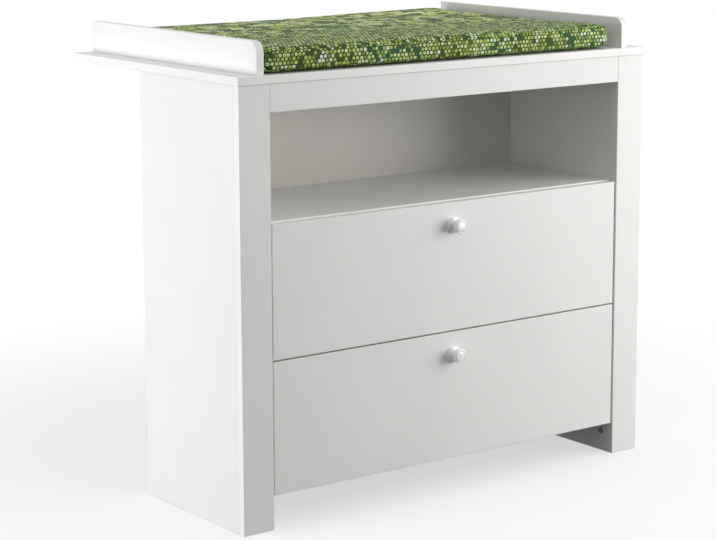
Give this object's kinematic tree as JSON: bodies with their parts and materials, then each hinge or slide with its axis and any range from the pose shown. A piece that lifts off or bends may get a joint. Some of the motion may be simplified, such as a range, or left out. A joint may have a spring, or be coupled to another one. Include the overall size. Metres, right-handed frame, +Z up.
{
  "type": "changing dresser",
  "caption": "Changing dresser: board carcass with an open compartment and deep drawers on roller runners, under a deep top with guard rails and a soft mat.",
  "frame": {"origin": "on the floor, at the centre of the box around the whole dresser", "axes": "+Z up, +X to the right seen from the front, +Y to the back; the drawers open towards -Y"},
  "size_m": [1.004, 0.623, 0.922],
  "materials": {
    "white_board": "white foil on board, satin",
    "drawer_board": "white foil on thin board, satin",
    "hardboard": "white lacquered hardboard",
    "white_paint": "white lacquer, turned wood",
    "runner_steel": "white epoxy coated sheet",
    "zinc": "die-cast zinc",
    "nylon": "natural nylon",
    "mat_cover": "wipeable coated cloth, dotted in greens"
  },
  "bodies": {
    "cabinet": {"side_outer_left": "white_board", "side_outer_right": "white_board", "side_inner_left": "white_board", "side_inner_right": "white_board", "stile_left": "white_board", "stile_right": "white_board", "rear_batten_left": "white_board", "rear_batten_right": "white_board", "cam_fittings": "zinc", "fascia_rail": "white_board", "rear_rail": "white_board", "shelf_board": "white_board", "bottom_board": "white_board", "back_panel": "hardboard", "top_board": "white_board", "guard_rail_left": "white_board", "guard_rail_right": "white_board", "runner_upper_left": "runner_steel", "runner_upper_right": "runner_steel", "runner_lower_left": "runner_steel", "runner_lower_right": "runner_steel"},
    "drawer_upper": {"drawer_upper_front": "white_board", "drawer_upper_side_left": "drawer_board", "drawer_upper_side_right": "drawer_board", "drawer_upper_back": "drawer_board", "drawer_upper_bottom": "hardboard", "drawer_upper_brace": "drawer_board", "drawer_upper_knob": "white_paint", "drawer_upper_runner_left": "runner_steel", "drawer_upper_runner_right": "runner_steel"},
    "drawer_lower": {"drawer_lower_front": "white_board", "drawer_lower_side_left": "drawer_board", "drawer_lower_side_right": "drawer_board", "drawer_lower_back": "drawer_board", "drawer_lower_bottom": "hardboard", "drawer_lower_brace": "drawer_board", "drawer_lower_knob": "white_paint", "drawer_lower_runner_left": "runner_steel", "drawer_lower_runner_right": "runner_steel"},
    "roller_upper_front_left": {"roller_upper_front_left": "nylon"},
    "roller_upper_front_right": {"roller_upper_front_right": "nylon"},
    "roller_upper_rear_left": {"roller_upper_rear_left": "nylon"},
    "roller_upper_rear_right": {"roller_upper_rear_right": "nylon"},
    "roller_lower_front_left": {"roller_lower_front_left": "nylon"},
    "roller_lower_front_right": {"roller_lower_front_right": "nylon"},
    "roller_lower_rear_left": {"roller_lower_rear_left": "nylon"},
    "roller_lower_rear_right": {"roller_lower_rear_right": "nylon"},
    "changing_mat": {"mat": "mat_cover"}
  },
  "joints": [
    {"name": "drawer_upper_slide", "type": "slide", "parent": "cabinet", "child": "drawer_upper", "axis": [0, -1, 0], "range_m": [0, 0.23]},
    {"name": "drawer_lower_slide", "type": "slide", "parent": "cabinet", "child": "drawer_lower", "axis": [0, -1, 0], "range_m": [0, 0.23]},
    {"name": "roller_upper_front_left_turn", "type": "hinge", "parent": "cabinet", "child": "roller_upper_front_left", "pos_m": [-0.4273, -0.2565, 0.3605], "axis": [1, 0, 0], "range_deg": [0, 1470]},
    {"name": "roller_upper_front_right_turn", "type": "hinge", "parent": "cabinet", "child": "roller_upper_front_right", "pos_m": [0.4273, -0.2565, 0.3605], "axis": [1, 0, 0], "range_deg": [0, 1470]},
    {"name": "roller_upper_rear_left_turn", "type": "hinge", "parent": "drawer_upper", "child": "roller_upper_rear_left", "pos_m": [-0.4242, 0.0185, 0.3602], "axis": [1, 0, 0], "range_deg": [0, 1470]},
    {"name": "roller_upper_rear_right_turn", "type": "hinge", "parent": "drawer_upper", "child": "roller_upper_rear_right", "pos_m": [0.4242, 0.0185, 0.3602], "axis": [1, 0, 0], "range_deg": [0, 1470]},
    {"name": "roller_lower_front_left_turn", "type": "hinge", "parent": "cabinet", "child": "roller_lower_front_left", "pos_m": [-0.4273, -0.2565, 0.1005], "axis": [1, 0, 0], "range_deg": [0, 1470]},
    {"name": "roller_lower_front_right_turn", "type": "hinge", "parent": "cabinet", "child": "roller_lower_front_right", "pos_m": [0.4273, -0.2565, 0.1005], "axis": [1, 0, 0], "range_deg": [0, 1470]},
    {"name": "roller_lower_rear_left_turn", "type": "hinge", "parent": "drawer_lower", "child": "roller_lower_rear_left", "pos_m": [-0.4242, 0.0185, 0.1002], "axis": [1, 0, 0], "range_deg": [0, 1470]},
    {"name": "roller_lower_rear_right_turn", "type": "hinge", "parent": "drawer_lower", "child": "roller_lower_rear_right", "pos_m": [0.4242, 0.0185, 0.1002], "axis": [1, 0, 0], "range_deg": [0, 1470]},
    {"name": "mat_lift", "type": "slide", "parent": "cabinet", "child": "changing_mat", "axis": [0, 0, 1], "range_m": [0, 0.25]}
  ],
  "couplings": [
    {"joint": "roller_upper_front_left_turn", "follows": "drawer_upper_slide", "rad_per_m": 111.11},
    {"joint": "roller_upper_front_right_turn", "follows": "drawer_upper_slide", "rad_per_m": 111.11},
    {"joint": "roller_upper_rear_left_turn", "follows": "drawer_upper_slide", "rad_per_m": 111.11},
    {"joint": "roller_upper_rear_right_turn", "follows": "drawer_upper_slide", "rad_per_m": 111.11},
    {"joint": "roller_lower_front_left_turn", "follows": "drawer_lower_slide", "rad_per_m": 111.11},
    {"joint": "roller_lower_front_right_turn", "follows": "drawer_lower_slide", "rad_per_m": 111.11},
    {"joint": "roller_lower_rear_left_turn", "follows": "drawer_lower_slide", "rad_per_m": 111.11},
    {"joint": "roller_lower_rear_right_turn", "follows": "drawer_lower_slide", "rad_per_m": 111.11}
  ]
}
